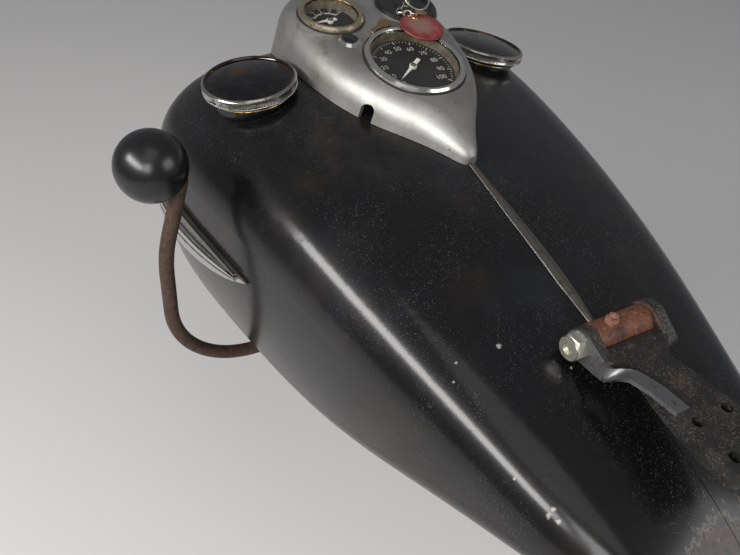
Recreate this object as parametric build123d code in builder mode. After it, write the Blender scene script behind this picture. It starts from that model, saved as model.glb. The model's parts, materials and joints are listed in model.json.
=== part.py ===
from build123d import *
from math import asin, atan2, cos, pi, radians, sin, sqrt, tan
import os

# Fuel tank of a vintage motorcycle: two half tanks, instrument dash, hand shift lever and saddle hinge.
# Millimetres, +X forward, +Y to the rider's left, +Z up, origin in the middle of the front mounting bore.

os.makedirs("parts", exist_ok=True)

# Tank half: top arc, shoulder arc, flank arc and bottom corner run into each other without a kink
TOP_R = 630.0           # crown of the top, centred on the seam
FLANK_R = 400.0         # gentle bulge of the side
CORNER_R = 28.0         # lower outside edge
CORNER_SHARE = 0.8      # most that it takes of a shallow side
SEAM_GAP = 0.6          # between the two halves
LIP = 14.0              # depth of the edges that meet at the seam
TUNNEL_Y = 24.0         # half width of the tunnel over the frame's top tube
TUNNEL_DROP = 30.0      # from the seam down to the tunnel's full width
LIP_SHARE, DROP_SHARE = 0.3, 0.6    # most that the lip and the drop take of a shallow section
# station x, seam height, half width, shoulder radius, bottom height, lean of the section in degrees
BODY = [
    (-118.0, 110.0, 182.0, 78.0, -135.0, 12.0),
    (-210.0, 106.5, 178.0, 68.0, -134.0, 6.0),
    (-310.0, 91.5, 164.0, 58.0, -111.0, 0.0),
    (-400.0, 73.5, 148.0, 52.0, -83.0, 0.0),
    (-490.0, 50.0, 127.0, 43.0, -55.0, 0.0),
    (-575.0, 25.5, 103.0, 34.0, -32.0, 0.0),
    (-608.0, 13.0, 86.0, 24.0, -26.0, 0.0),
    (-628.0, 2.0, 64.0, 13.0, -21.0, 0.0),
]
NOSE_R = 84.0           # rounding of the front end
NOSE_ANGLES = (28.0, 50.0, 70.0, 84.0)
NOSE_SHOULDER = 0.75    # share of the inset that the shoulder radius loses towards the nose
HEAD_NOTCH_X, HEAD_NOTCH_R = -105.0, 30.0   # the seam opens from here forward, round the steering head

# Filler caps and necks: the same on both halves, measured from the middle of the cap's rim
CAP_X, CAP_Y, CAP_Z = -139.0, 124.3, 111.5
CAP_TILT_OUT, CAP_TILT_FORWARD = 9.5, 4.5
CAP_R, CAP_BAND, CAP_RIM = 40.0, 9.0, 2.4
CAP_DISH, CAP_DOME = 1.6, 2.6
CAP_FACE = [(24.0, 0.8), (12.0, 2.2)]   # radius and rise where the domed face bends
CAP_SEAT = 0.3          # between the band and the neck's lip
CAP_FIT = 0.4           # between the plug and the neck
CAP_PLUG = 9.0
NECK_R, NECK_WALL, NECK_LENGTH = 33.0, 3.0, 36.0
NECK_BEAD = 1.6
WELL_DEPTH = 66.0

# Seam moulding: station x, half width
MOULDING = [(-293.0, 2.8), (-350.0, 4.6), (-415.0, 5.2), (-452.0, 2.6)]
MOULDING_RISE = 2.6
SEAT_FIT = 0.3          # under trim that lies on the paint

# Side trim: the spear's outline as x, z from its rear tip forward, then its steps
SPEAR_TIP = (-250.0, -10.0)
SPEAR_TOP = (-62.0, -6.0)
SPEAR_LOW = (-62.0, -64.0)
SPEAR_BELLY = (-165.0, -52.0)
SPEAR_NOSE = 22.0
SPEAR_DEEP = 120.0      # how far in from the side the outlines are carried
SPEAR_RISE, RIB_RISE = 1.8, 3.0     # of the plate over the paint, and of its ribs over the plate
RIB_TIP, RIB_END = -234.0, -64.0
# ribs that run together at the tip: upper and lower edge as z at the tip, halfway and at the front end
RIBS = [
    ((-10.8, -9.4, -8.4), (-13.0, -17.6, -20.0)),
    ((-14.5, -33.0, -36.5), (-15.9, -39.0, -43.5)),
    ((-16.9, -42.5, -48.5), (-18.9, -52.5, -60.5)),
]

# Dash: station x, half width at the foot, top height, radius of the top edge
DASH = [
    (-291.5, 4.0, 101.5, 2.8),
    (-288.5, 8.0, 106.0, 6.7),
    (-282.0, 12.3, 111.0, 10.8),
    (-272.0, 18.5, 117.0, 16.5),
    (-256.0, 29.5, 124.5, 22.0),
    (-232.0, 48.0, 131.0, 25.0),
    (-200.0, 66.0, 136.0, 26.0),
    (-160.0, 77.0, 141.5, 27.0),
    (-120.0, 79.0, 146.0, 28.0),
    (-88.0, 75.0, 148.0, 28.0),
    (-62.0, 58.0, 145.0, 28.0),
    (-50.0, 42.0, 138.0, 24.0),
]
DASH_TAIL = 4           # rows of the tail that stay solid
DASH_WALL = 3.0
DASH_DRAFT = 10.0       # degrees that the side walls lean in
DASH_ROOT = 40.0        # the walls start down here and are cut to the tank's skin
DASH_CROWN = 1.2        # rise of the top over its corners
NOTCH_X, NOTCH_W, NOTCH_H, NOTCH_FROM = -217.0, 10.5, 17.0, 38.0

# Instruments: x, y and z of the bezel's foot, lean to the rider, lean to the left, bezel radius
SPEEDO = (-195.5, 0.0, 136.3, 9.8, 0.0, 43.9)
AMMETER = (-118.6, 38.8, 146.2, 4.9, 2.4, 28.7)
SWITCH = (-118.6, -38.8, 146.2, 4.9, -2.4, 28.7)
LAMP = (-157.0, 42.0, 140.6, 7.0, 5.0, 9.5)
LAMP_DEEP, LAMP_RIM_T = 10.0, 1.6
LAMP_CROWN_R, LAMP_CROWN_Z = 6.6, 4.0
BEZEL_RISE, BEZEL_LIP, BEZEL_CHAMFER = 5.0, 5.0, 1.8
CAN_INSET, CAN_WALL, CAN_DEEP = 4.0, 1.6, 20.0
GLASS_T, GLASS_INSET, GLASS_DROP = 1.6, 2.5, 0.8
DIAL_T, DIAL_DROP = 1.0, 8.0
SEAT_RIM, SEAT_DEPTH, SEAT_CUT = 1.6, 9.0, 20.0
POINTER_HUB, POINTER_T, POINTER_LIFT, POINTER_W = 3.2, 0.9, 1.4, 1.7
# length of the needle, length of its tail, angle from straight ahead
SPEEDO_NEEDLE = (26.0, 12.0, 125.0)
AMMETER_NEEDLE = (17.0, 6.0, 92.0)

# Ignition switch, key, ring and fob
SWITCH_RISE, SWITCH_HUB_R = 3.0, 11.0
KEY_T, KEY_W, KEY_BOW_R, KEY_STAND, KEY_HOLE_R = 2.2, 8.0, 11.0, 9.0, 2.2
RING_R, RING_WIRE = 13.0, 1.1
RING_HANG = (0.8, 0.6)  # how far the ring leans back for how far it drops
RING_PLAY = 0.15
FOB_R, FOB_T = 19.0, 2.2
FOB_X, FOB_Y = -160.5, -28.0

# Shift lever: its rod runs in one plane across the bike, where y, z and the bend's radius are given
LEVER_X = -195.0
ROD_R = 6.35
PIVOT_Z = -152.0
ROD_END_Y = 42.0
SWEEP_Y, SWEEP_R = 209.5, 87.0
BOW_Y, BOW_Z, BOW_R = 220.3, -8.0, 150.0
CROOK_Y, CROOK_Z, CROOK_R = 205.8, 68.5, 9.0
KNOB_Y, KNOB_Z, KNOB_R = 230.0, 83.0, 28.5
KNOB_FLAT = 21.5        # from the knob's centre to its flat underside
KNOB_SOCKET = 7.0       # from the knob's centre to the rod's end
EARS_Y = (60.0, 98.0)   # middles of the bracket's two ears
EAR_T, EAR_R, EAR_L = 8.0, 13.0, 46.0
BRIDGE_T = 6.0
ROD_FIT = 0.08
ARM_T, ARM_R, ARM_L, ARM_EYE_R, ARM_BORE = 6.0, 11.0, 42.0, 8.0, 4.0
ARM_GAP = 1.0

# Saddle hinge: its axis crosses the seam
HINGE_X, HINGE_Z = -471.5, 71.0
BARREL_R, BARREL_HALF = 12.0, 25.0
STEM_L, STEM_T, STEM_FIT = 22.0, 12.0, 1.0
CHEEK_GAP = 0.5
CHEEKS = ((1, 12.0, 7.0), (-1, 14.0, 11.0))     # side, radius and thickness of the two cheeks
CHEEK_TOE = (20.0, -2.5, 6.0)   # end of a cheek: how far behind and over the axis, and its radius
BOLT_R, BOLT_FIT = 6.0, 0.08
BOLT_HEAD_AF, BOLT_HEAD_T = 18.0, 9.0
BOLT_FACE_R, BOLT_FACE_T = 8.4, 1.4     # round face that the hexagon is turned down to, and its chamfer
BOLT_HOLLOW_R, BOLT_HOLLOW = 4.6, 2.0
# arm's outline from above: how far behind the axis, half width
ARM_PLAN = [(13.5, 31.0), (19.5, 29.8), (27.0, 22.8), (36.0, 15.2), (49.0, 16.8), (68.0, 20.8), (94.0, 23.6),
            (122.0, 24.0)]
ARM_LOW, ARM_DEPTH = 9.5, 14.0  # its underside below the axis, its depth
PAD_BACK, PAD_CORNER, PAD_MIDDLE = 130.0, 8.0, 102.0
PAD_HOLE_R, PAD_HOLES = 4.2, (30.0, 28.0)
STRAP_T, STRAP_EYE_R = 3.5, 11.0
STRAP_TOE = (20.0, -3.0, 6.4)
STRAP_FIT = 0.1
# strap's twist: how far behind the axis, middle y, middle z over the axis, width, lean from upright in degrees
STRAP_TWIST = [
    (19.0, 34.25, -3.0, 12.4, 0.0),
    (26.5, 34.25, -2.6, 12.2, 0.0),
    (30.0, 33.7, -1.3, 12.0, 20.0),
    (33.0, 32.3, 1.0, 12.0, 42.0),
    (36.5, 30.2, 3.9, 12.0, 64.0),
    (40.0, 28.2, 5.9, 12.0, 80.0),
    (44.0, 26.3, 6.7, 12.0, 90.0),
    (58.0, 21.8, 6.7, 12.0, 90.0),
    (78.0, 19.4, 6.7, 11.6, 90.0),
]
TUBE_R, TUBE_DROP, TUBE_SLOPE = 16.0, 52.0, 9.0
SLEEVE_WALL, SLEEVE_L = 6.0, 40.0
NIPPLE_Y = 9.5
NIPPLE = [(0.0, 0.0), (4.8, 0.0), (4.8, 3.6), (2.2, 4.5), (3.2, 7.2), (0.0, 9.0)]
NIPPLE_SINK = 1.0

# Hangers: steel links on the tunnel's walls, joined by a mounting tube
HANGER_T = 4.0
HANGER_TUBE_R, HANGER_BORE_R = 11.0, 5.5
# middle of the mounting tube as x, z, then the far end of the link as x, z, then the link's end radii
HANGERS = {
    "front_hanger": (0.0, 0.0, -112.0, -58.0, 13.0, 15.0),
    "rear_hanger": (-542.0, -58.0, -500.0, -20.0, 12.0, 14.0),
}

# Fuel taps
TAP_X, TAP_Y = -300.0, 72.0
TAP_HEX_AF, TAP_HEX_H = 22.0, 8.0
TAP_BODY_R, TAP_BODY_H, TAP_BOSS_R = 8.5, 26.0, 5.1
SPIGOT_R, SPIGOT_BORE_R, SPIGOT_L = 4.0, 2.5, 26.0
SPIGOT_NECK_R, SPIGOT_NECK_L = 3.4, 4.0  # slimmer root that keeps the hose clear of the body
TAP_LEVER_L, TAP_LEVER_W, TAP_LEVER_T = 30.0, 8.0, 3.0


def tilted(x, y, z, rearward, leftward):
    """Plane whose normal leans back towards the rider and out to the left, in degrees."""
    a, b = radians(rearward), radians(leftward)
    normal = (-sin(a), sin(b) * cos(a), cos(a) * cos(b))
    return Plane(origin=(x, y, z), x_dir=(cos(a), 0, sin(a)), z_dir=normal)


def turned(plane, outline):
    """Solid of revolution about a plane's normal, from a closed outline of radius and height."""
    upright = Plane(origin=plane.origin, x_dir=plane.x_dir, z_dir=-plane.y_dir)
    with BuildPart() as body:
        with BuildSketch(upright):
            with BuildLine():
                Polyline(*outline, close=True)
            make_face()
        revolve(axis=Axis(plane.origin, plane.z_dir))
    return body.part


def stations():
    """Every section of a tank half: the nose from its front back, then the body."""
    x0, seam, half, shoulder, bottom, lean = BODY[0]
    rows = []
    for angle in reversed(NOSE_ANGLES):
        inset = NOSE_R * (1 - cos(radians(angle)))
        x = x0 + NOSE_R * sin(radians(angle))
        rows.append((x, seam - inset, half - inset, shoulder - NOSE_SHOULDER * inset, bottom + inset, lean))
    return rows + BODY


def between(x, column):
    """Value of one column of the tank's table at any x."""
    rows = sorted(BODY)
    for low, high in zip(rows, rows[1:]):
        if x <= high[0]:
            break
    share = (x - low[0]) / (high[0] - low[0])
    return low[column] + share * (high[column] - low[column])


def section(row, grow):
    """Sketch of one section of the left half in its leaning plane, grown outwards by a given thickness."""
    x, seam, half, shoulder, bottom, lean = row
    low = (bottom - seam) / cos(radians(lean))
    wide = sqrt((TOP_R - shoulder) ** 2 - (half - shoulder) ** 2) - TOP_R
    corner = min(CORNER_R, CORNER_SHARE * (wide - low))
    lip, drop = min(LIP, -LIP_SHARE * low), min(TUNNEL_DROP, -DROP_SHARE * low)
    turn = asin((wide - corner - low) / (FLANK_R - corner))
    swing = FLANK_R - corner
    top, side, flank = (0, -TOP_R), (half - shoulder, wide), (half - FLANK_R, wide)
    edge = (half - FLANK_R + swing * cos(turn), wide - swing * sin(turn))
    seam_y = -1.0 if grow else SEAM_GAP / 2
    start = pi / 2 - asin(seam_y / (TOP_R + grow))
    meet = atan2(wide + TOP_R, half - shoulder)

    def arc(centre, radius, first, last):
        angles = (first, (first + last) / 2, last)
        points = [(centre[0] + radius * cos(a), centre[1] + radius * sin(a)) for a in angles]
        ThreePointArc(*points)
        return points

    a = radians(lean)
    plane = Plane(origin=(x, 0, seam), x_dir=(0, 1, 0), z_dir=(cos(a), 0, sin(a)))
    with BuildSketch(plane) as face:
        with BuildLine():
            first = arc(top, TOP_R + grow, start, meet)[0]
            arc(side, shoulder + grow, meet, 0)
            arc(flank, FLANK_R + grow, 0, -turn)
            last = arc(edge, corner + grow, -turn, -pi / 2)[2]
            if grow:
                Polyline(last, (seam_y, last[1]), first)
            else:
                Polyline(last, (TUNNEL_Y, last[1]), (TUNNEL_Y, -drop), (seam_y, -lip), first)
        make_face()
    return face.sketch


def half_body(grow=0.0):
    """Left half as one solid, or grown outwards and with no tunnel, to trim what lies on it."""
    with BuildPart() as body:
        for row in stations():
            add(section(row, grow))
        loft()
    return body.part


def cap_plane(side):
    return tilted(CAP_X, side * CAP_Y, CAP_Z, -CAP_TILT_FORWARD, side * CAP_TILT_OUT)


def down(plane, depth):
    return plane.offset(-depth)


# Left tank half: the lofted body with its filler hole, the notch round the steering head and the hinge's slot
neck_foot = CAP_BAND + CAP_SEAT + NECK_LENGTH
with BuildPart() as tank_left:
    add(half_body())
    with BuildSketch(down(cap_plane(1), neck_foot)):
        Circle(NECK_R)
    extrude(amount=neck_foot + NECK_R, mode=Mode.SUBTRACT)
    with BuildSketch(down(cap_plane(1), CAP_BAND + CAP_SEAT + 2 * NECK_BEAD)):
        Circle(NECK_R + NECK_BEAD + SEAT_FIT)
    extrude(amount=NECK_R, mode=Mode.SUBTRACT)
    with BuildSketch(down(cap_plane(1), CAP_BAND + WELL_DEPTH)):
        Circle(NECK_R - NECK_WALL)
    extrude(amount=WELL_DEPTH, mode=Mode.SUBTRACT)
    with BuildSketch(Plane.XY.offset(BODY[0][4] - NOSE_R)):
        with Locations((HEAD_NOTCH_X, 0)):
            Circle(HEAD_NOTCH_R)
            Rectangle(3 * NOSE_R, 2 * HEAD_NOTCH_R, align=(Align.MIN, Align.CENTER))
    extrude(amount=4 * NOSE_R, mode=Mode.SUBTRACT)
    with BuildSketch(Plane.XY):
        with Locations((HINGE_X, 0)):
            Rectangle(STEM_L + 2 * STEM_FIT, STEM_T + 2 * STEM_FIT)
    extrude(amount=HINGE_Z + BARREL_R, mode=Mode.SUBTRACT)
tank_left.part.label = "tank_left"
export_step(tank_left.part, "parts/tank_left.step")

with BuildPart() as tank_right:
    add(mirror(tank_left.part, about=Plane.XZ))
tank_right.part.label = "tank_right"
export_step(tank_right.part, "parts/tank_right.step")

skin = half_body(SEAT_FIT)
skins = [skin, mirror(skin, about=Plane.XZ)]

# Filler necks and caps
for name, side in (("left", 1), ("right", -1)):
    rim = cap_plane(side)
    lip = CAP_BAND + CAP_SEAT
    inner = NECK_R - NECK_WALL
    with BuildPart() as filler_neck:
        add(turned(rim, [
            (inner, -neck_foot),
            (NECK_R, -neck_foot),
            (NECK_R, -lip - 2 * NECK_BEAD),
            (NECK_R + NECK_BEAD, -lip - 2 * NECK_BEAD),
            (NECK_R + NECK_BEAD, -lip - NECK_BEAD),
            (NECK_R, -lip),
            (inner, -lip),
        ]))
    filler_neck.part.label = f"filler_neck_{name}"
    export_step(filler_neck.part, f"parts/filler_neck_{name}.step")

    plug = inner - CAP_FIT
    with BuildPart() as cap:
        add(turned(rim, [
            (0, -CAP_BAND - CAP_PLUG + NECK_WALL),
            (plug - NECK_WALL, -CAP_BAND - CAP_PLUG + NECK_WALL),
            (plug - NECK_WALL, -CAP_BAND - CAP_PLUG),
            (plug, -CAP_BAND - CAP_PLUG),
            (plug, -CAP_BAND),
            (CAP_R, -CAP_BAND),
            (CAP_R, -CAP_RIM / 2),
            (CAP_R - CAP_RIM / 2, 0),
            (CAP_R - CAP_RIM, 0),
            (CAP_R - CAP_RIM - CAP_DISH, -CAP_DISH),
            *CAP_FACE,
            (0, CAP_DOME),
        ]))
    cap.part.label = f"cap_{name}"
    export_step(cap.part, f"parts/cap_{name}.step")

# Moulding over the seam, from the dash's tail to the saddle hinge
with BuildPart() as seam_moulding:
    for x, half in MOULDING:
        seam = between(x, 1)
        with BuildSketch(Plane(origin=(x, 0, seam), x_dir=(0, 1, 0), z_dir=(1, 0, 0))):
            with BuildLine():
                Polyline((-half, -LIP / 2), (half, -LIP / 2), (half, MOULDING_RISE / 2),
                         (0, MOULDING_RISE), (-half, MOULDING_RISE / 2), close=True)
            make_face()
    loft()
    for piece in skins:
        add(piece, mode=Mode.SUBTRACT)
seam_moulding.part.label = "seam_moulding"
export_step(seam_moulding.part, "parts/seam_moulding.step")


spear_side = Plane.XZ.offset(-BODY[0][2] - SPEAR_NOSE)
with BuildSketch(spear_side) as spear:
    with BuildLine():
        nose = (SPEAR_TOP[0] + SPEAR_NOSE, (SPEAR_TOP[1] + SPEAR_LOW[1]) / 2)
        Line(SPEAR_TIP, SPEAR_TOP)
        ThreePointArc(SPEAR_TOP, nose, SPEAR_LOW)
        ThreePointArc(SPEAR_LOW, SPEAR_BELLY, SPEAR_TIP)
    make_face()
with BuildSketch(spear_side) as ribs:
    rib_middle = (RIB_TIP + RIB_END) / 2
    for upper, lower in RIBS:
        with BuildLine():
            ThreePointArc((RIB_TIP, upper[0]), (rib_middle, upper[1]), (RIB_END, upper[2]))
            Line((RIB_END, upper[2]), (RIB_END, lower[2]))
            ThreePointArc((RIB_END, lower[2]), (rib_middle, lower[1]), (RIB_TIP, lower[0]))
            Line((RIB_TIP, lower[0]), (RIB_TIP, upper[0]))
        make_face()

# Side trim: a thin plate and its ribs, both slices of the tank's skin
with BuildPart() as trim_left:
    for outline, rise in ((spear, SPEAR_RISE), (ribs, SPEAR_RISE + RIB_RISE)):
        with BuildPart() as layer:
            extrude(outline.sketch, amount=SPEAR_DEEP)
            add(half_body(SEAT_FIT + rise), mode=Mode.INTERSECT)
            add(skin, mode=Mode.SUBTRACT)
        add(layer.part)
trim_left.part.label = "trim_left"
export_step(trim_left.part, "parts/trim_left.step")

with BuildPart() as trim_right:
    add(mirror(trim_left.part, about=Plane.XZ))
trim_right.part.label = "trim_right"
export_step(trim_right.part, "parts/trim_right.step")


def dash_loft(rows, inset):
    """Closed body of the dash, or the space inside it at a given wall."""
    a = radians(DASH_DRAFT)
    with BuildPart() as body:
        for x, foot, top, edge in rows:
            skin_z = between(x, 1) - TOP_R + sqrt(TOP_R**2 - foot**2)
            high, radius = top - inset, max(edge - inset, inset)
            # centre of the top edge's arc, tangent to the leaning wall and to the level of the corner
            centre_z = high - radius
            centre_y = foot - inset - tan(a) * (centre_z - skin_z) - radius / cos(a)
            root = foot - inset - tan(a) * (DASH_ROOT - skin_z)
            wall = (centre_y + radius * cos(a), centre_z + radius * sin(a))
            middle = (centre_y + radius * cos(a / 2 + pi / 4), centre_z + radius * sin(a / 2 + pi / 4))
            crown = (0, high + DASH_CROWN * min(1, centre_y / edge))
            with BuildSketch(Plane(origin=(x, 0, 0), x_dir=(0, 1, 0), z_dir=(1, 0, 0))):
                with BuildLine():
                    Line((root, DASH_ROOT), wall)
                    ThreePointArc(wall, middle, (centre_y, high))
                    ThreePointArc((centre_y, high), crown, (-centre_y, high))
                    ThreePointArc((-centre_y, high), (-middle[0], middle[1]), (-wall[0], wall[1]))
                    Polyline((-wall[0], wall[1]), (-root, DASH_ROOT), (root, DASH_ROOT))
                make_face()
        loft()
    return body.part


GAUGES = {"speedometer": SPEEDO, "ammeter": AMMETER, "ignition_switch": SWITCH}

# Dash: a thin casting seated on the tank's skin, with a flat seat and a hole for each instrument
with BuildPart() as dash_housing:
    add(dash_loft(DASH, 0))
    add(dash_loft(DASH[DASH_TAIL:-1], DASH_WALL), mode=Mode.SUBTRACT)
    for x, y, z, rearward, leftward, radius in GAUGES.values():
        foot = tilted(x, y, z, rearward, leftward)
        with BuildSketch(down(foot, SEAT_DEPTH)):
            Circle(radius + SEAT_RIM)
        extrude(amount=SEAT_DEPTH)
    for x, y, z, rearward, leftward, radius in GAUGES.values():
        foot = tilted(x, y, z, rearward, leftward)
        with BuildSketch(foot):
            Circle(radius + SEAT_RIM)
        extrude(amount=SEAT_CUT, mode=Mode.SUBTRACT)
        with BuildSketch(down(foot, SEAT_DEPTH + SEAT_CUT)):
            Circle(radius - CAN_INSET)
        extrude(amount=SEAT_DEPTH + SEAT_CUT, mode=Mode.SUBTRACT)
    with BuildSketch(down(tilted(*LAMP[:5]), SEAT_CUT)):
        Circle(LAMP[5] - CAN_INSET)
    extrude(amount=2 * SEAT_CUT, mode=Mode.SUBTRACT)
    notch_foot = between(NOTCH_X, 1) - NOTCH_H
    with BuildSketch(Plane.XZ.offset(-NOTCH_FROM)):
        with Locations((NOTCH_X, notch_foot)):
            SlotCenterPoint((0, 0), (0, 2 * NOTCH_H - NOTCH_W), NOTCH_W)
    extrude(amount=-CAP_Y, mode=Mode.SUBTRACT)
    for piece in skins:
        add(piece, mode=Mode.SUBTRACT)
dash_housing.part.label = "dash_housing"
export_step(dash_housing.part, "parts/dash_housing.step")

# Instruments: bezel and can, dial, pointer and glass
glass_top = BEZEL_RISE - GLASS_DROP
glass_low = glass_top - GLASS_T
dial_top = glass_low - DIAL_DROP
for name, (needle, tail, angle) in (("speedometer", SPEEDO_NEEDLE), ("ammeter", AMMETER_NEEDLE)):
    radius = GAUGES[name][5]
    foot = tilted(*GAUGES[name][:5])
    can = radius - CAN_INSET
    can_in = can - CAN_WALL
    ledge = can_in - CAN_WALL
    with BuildPart() as bezel:
        add(turned(foot, [
            (0, -CAN_DEEP),
            (can, -CAN_DEEP),
            (can, 0),
            (radius, 0),
            (radius, BEZEL_RISE - BEZEL_CHAMFER),
            (radius - BEZEL_CHAMFER, BEZEL_RISE),
            (radius - BEZEL_LIP + BEZEL_CHAMFER / 2, BEZEL_RISE),
            (radius - BEZEL_LIP, glass_top),
            (radius - GLASS_INSET, glass_top),
            (radius - GLASS_INSET, glass_low),
            (can_in, glass_low),
            (can_in, dial_top - DIAL_T),
            (ledge, dial_top - DIAL_T),
            (ledge, CAN_WALL - CAN_DEEP),
            (0, CAN_WALL - CAN_DEEP),
        ]))
    bezel.part.label = f"{name}_bezel"
    export_step(bezel.part, f"parts/{name}_bezel.step")

    with BuildPart() as dial:
        with BuildSketch(down(foot, DIAL_T - dial_top)):
            Circle(can_in)
        extrude(amount=DIAL_T)
    dial.part.label = f"{name}_dial"
    export_step(dial.part, f"parts/{name}_dial.step")

    with BuildPart() as pointer:
        with BuildSketch(foot.offset(dial_top)):
            Circle(POINTER_HUB)
        extrude(amount=POINTER_LIFT + POINTER_T)
        with BuildSketch(foot.offset(dial_top + POINTER_LIFT)):
            with BuildLine(Plane.XY):
                a = radians(angle)
                along, across = Vector(cos(a), sin(a)), Vector(sin(a), -cos(a)) * POINTER_W
                Polyline(along * needle, across, across - along * tail, -across - along * tail, -across,
                         close=True)
            make_face()
        extrude(amount=POINTER_T)
    pointer.part.label = f"{name}_pointer"
    export_step(pointer.part, f"parts/{name}_pointer.step")

    with BuildPart() as glass:
        with BuildSketch(foot.offset(glass_low)):
            Circle(radius - GLASS_INSET)
        extrude(amount=GLASS_T)
    glass.part.label = f"{name}_glass"
    export_step(glass.part, f"parts/{name}_glass.step")

# Ignition switch with its key, ring and fob
foot = tilted(*SWITCH[:5])
radius = SWITCH[5]
with BuildPart() as ignition_switch:
    add(turned(foot, [
        (0, -CAN_DEEP),
        (radius - CAN_INSET, -CAN_DEEP),
        (radius - CAN_INSET, 0),
        (radius, 0),
        (radius, BEZEL_RISE - BEZEL_CHAMFER),
        (radius - BEZEL_CHAMFER, BEZEL_RISE),
        (radius - BEZEL_LIP, BEZEL_RISE),
        (radius - BEZEL_LIP - BEZEL_CHAMFER, SWITCH_RISE),
        (SWITCH_HUB_R + BEZEL_CHAMFER, SWITCH_RISE),
        (SWITCH_HUB_R, BEZEL_RISE),
        (0, BEZEL_RISE),
    ]))
ignition_switch.part.label = "ignition_switch"
export_step(ignition_switch.part, "parts/ignition_switch.step")

bow_z = KEY_STAND + KEY_BOW_R
with BuildPart() as ignition_key:
    key_side = Plane(origin=foot.origin, x_dir=foot.x_dir, z_dir=-foot.y_dir)
    with BuildSketch(key_side.offset(-KEY_T / 2)):
        with Locations((0, BEZEL_RISE)):
            Rectangle(KEY_W, bow_z - BEZEL_RISE, align=(Align.CENTER, Align.MIN))
        with Locations((0, bow_z)):
            Circle(KEY_BOW_R)
        with Locations((0, bow_z + KEY_BOW_R / 2)):
            Circle(KEY_HOLE_R, mode=Mode.SUBTRACT)
    extrude(amount=KEY_T)
ignition_key.part.label = "ignition_key"
export_step(ignition_key.part, "parts/ignition_key.step")

# the ring hangs from the key's hole towards the rider
ring_top = foot.offset(bow_z + KEY_BOW_R / 2).origin
hang = (foot.x_dir * -RING_HANG[0] - foot.z_dir * RING_HANG[1]).normalized()
ring_middle = ring_top + hang * (RING_R + KEY_HOLE_R - RING_WIRE - RING_PLAY)
with BuildPart() as key_ring:
    with BuildSketch(Plane(origin=ring_middle, x_dir=hang, z_dir=foot.y_dir)):
        with Locations((-RING_R, 0)):
            Circle(RING_WIRE)
    revolve(axis=Axis(ring_middle, hang.cross(foot.y_dir)))
key_ring.part.label = "key_ring"
export_step(key_ring.part, "parts/key_ring.step")

with BuildPart() as key_fob:
    speedo_foot = tilted(*SPEEDO[:5])
    lift = (FOB_X - SPEEDO[0]) * tan(radians(SPEEDO[3]))
    fob_plane = Plane(origin=(FOB_X, FOB_Y, SPEEDO[2] + lift), x_dir=speedo_foot.x_dir, z_dir=speedo_foot.z_dir)
    with BuildSketch(fob_plane.offset(BEZEL_RISE + SEAT_FIT)):
        Circle(FOB_R)
    extrude(amount=FOB_T)
key_fob.part.label = "key_fob"
export_step(key_fob.part, "parts/key_fob.step")

# Warning lamp between the instruments
foot = tilted(*LAMP[:5])
with BuildPart() as dash_lamp:
    add(turned(foot, [
        (0, -LAMP_DEEP),
        (LAMP[5] - CAN_INSET, -LAMP_DEEP),
        (LAMP[5] - CAN_INSET, 0),
        (LAMP[5], SEAT_FIT),
        (LAMP[5], LAMP_RIM_T),
        (LAMP_CROWN_R, LAMP_CROWN_Z),
        (0, BEZEL_RISE),
    ]))
    add(dash_housing.part, mode=Mode.SUBTRACT)
dash_lamp.part.label = "dash_lamp"
export_step(dash_lamp.part, "parts/dash_lamp.step")

# Shift lever: a bent rod that turns in two ears under the left half
knob = Vector(LEVER_X, KNOB_Y, KNOB_Z)
grip = (knob - Vector(LEVER_X, CROOK_Y, CROOK_Z)).normalized()
rod_end = knob - grip * KNOB_SOCKET
with BuildPart() as shift_rod:
    with BuildLine(Plane.YZ.offset(LEVER_X)):
        FilletPolyline((ROD_END_Y, PIVOT_Z), (SWEEP_Y, PIVOT_Z), (BOW_Y, BOW_Z), (CROOK_Y, CROOK_Z),
                       (rod_end.Y, rod_end.Z), radius=[SWEEP_R, BOW_R, CROOK_R])
    with BuildSketch(Plane.XZ.offset(-ROD_END_Y)):
        with Locations((LEVER_X, PIVOT_Z)):
            Circle(ROD_R)
    sweep()
shift_rod.part.label = "shift_rod"
export_step(shift_rod.part, "parts/shift_rod.step")

with BuildPart() as shift_knob:
    with BuildSketch(Plane(origin=knob, x_dir=(1, 0, 0), z_dir=Vector(1, 0, 0).cross(grip))):
        with BuildLine():
            flat = sqrt(KNOB_R**2 - KNOB_FLAT**2)
            Line((0, KNOB_R), (0, -KNOB_SOCKET))
            Polyline((0, -KNOB_SOCKET), (ROD_R, -KNOB_SOCKET), (ROD_R, -KNOB_FLAT), (flat, -KNOB_FLAT))
            ThreePointArc((flat, -KNOB_FLAT), (KNOB_R, 0), (0, KNOB_R))
        make_face()
    revolve(axis=Axis(knob, grip))
shift_knob.part.label = "shift_knob"
export_step(shift_knob.part, "parts/shift_knob.step")

with BuildPart() as shift_bracket:
    for ear_y in EARS_Y:
        with BuildSketch(Plane.XZ.offset(-ear_y - EAR_T / 2)):
            with Locations((LEVER_X, PIVOT_Z)):
                Circle(EAR_R)
            with Locations((LEVER_X, BODY[1][4])):
                Rectangle(EAR_L, 2 * BRIDGE_T)
            make_hull()
            with Locations((LEVER_X, PIVOT_Z)):
                Circle(ROD_R + ROD_FIT, mode=Mode.SUBTRACT)
        extrude(amount=EAR_T)
    with BuildSketch(Plane.XY.offset(BODY[1][4] - BRIDGE_T)):
        with Locations((LEVER_X, sum(EARS_Y) / 2)):
            Rectangle(EAR_L, EARS_Y[1] - EARS_Y[0] + EAR_T)
    extrude(amount=2 * BRIDGE_T)
    add(tank_left.part, mode=Mode.SUBTRACT)
shift_bracket.part.label = "shift_bracket"
export_step(shift_bracket.part, "parts/shift_bracket.step")

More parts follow.
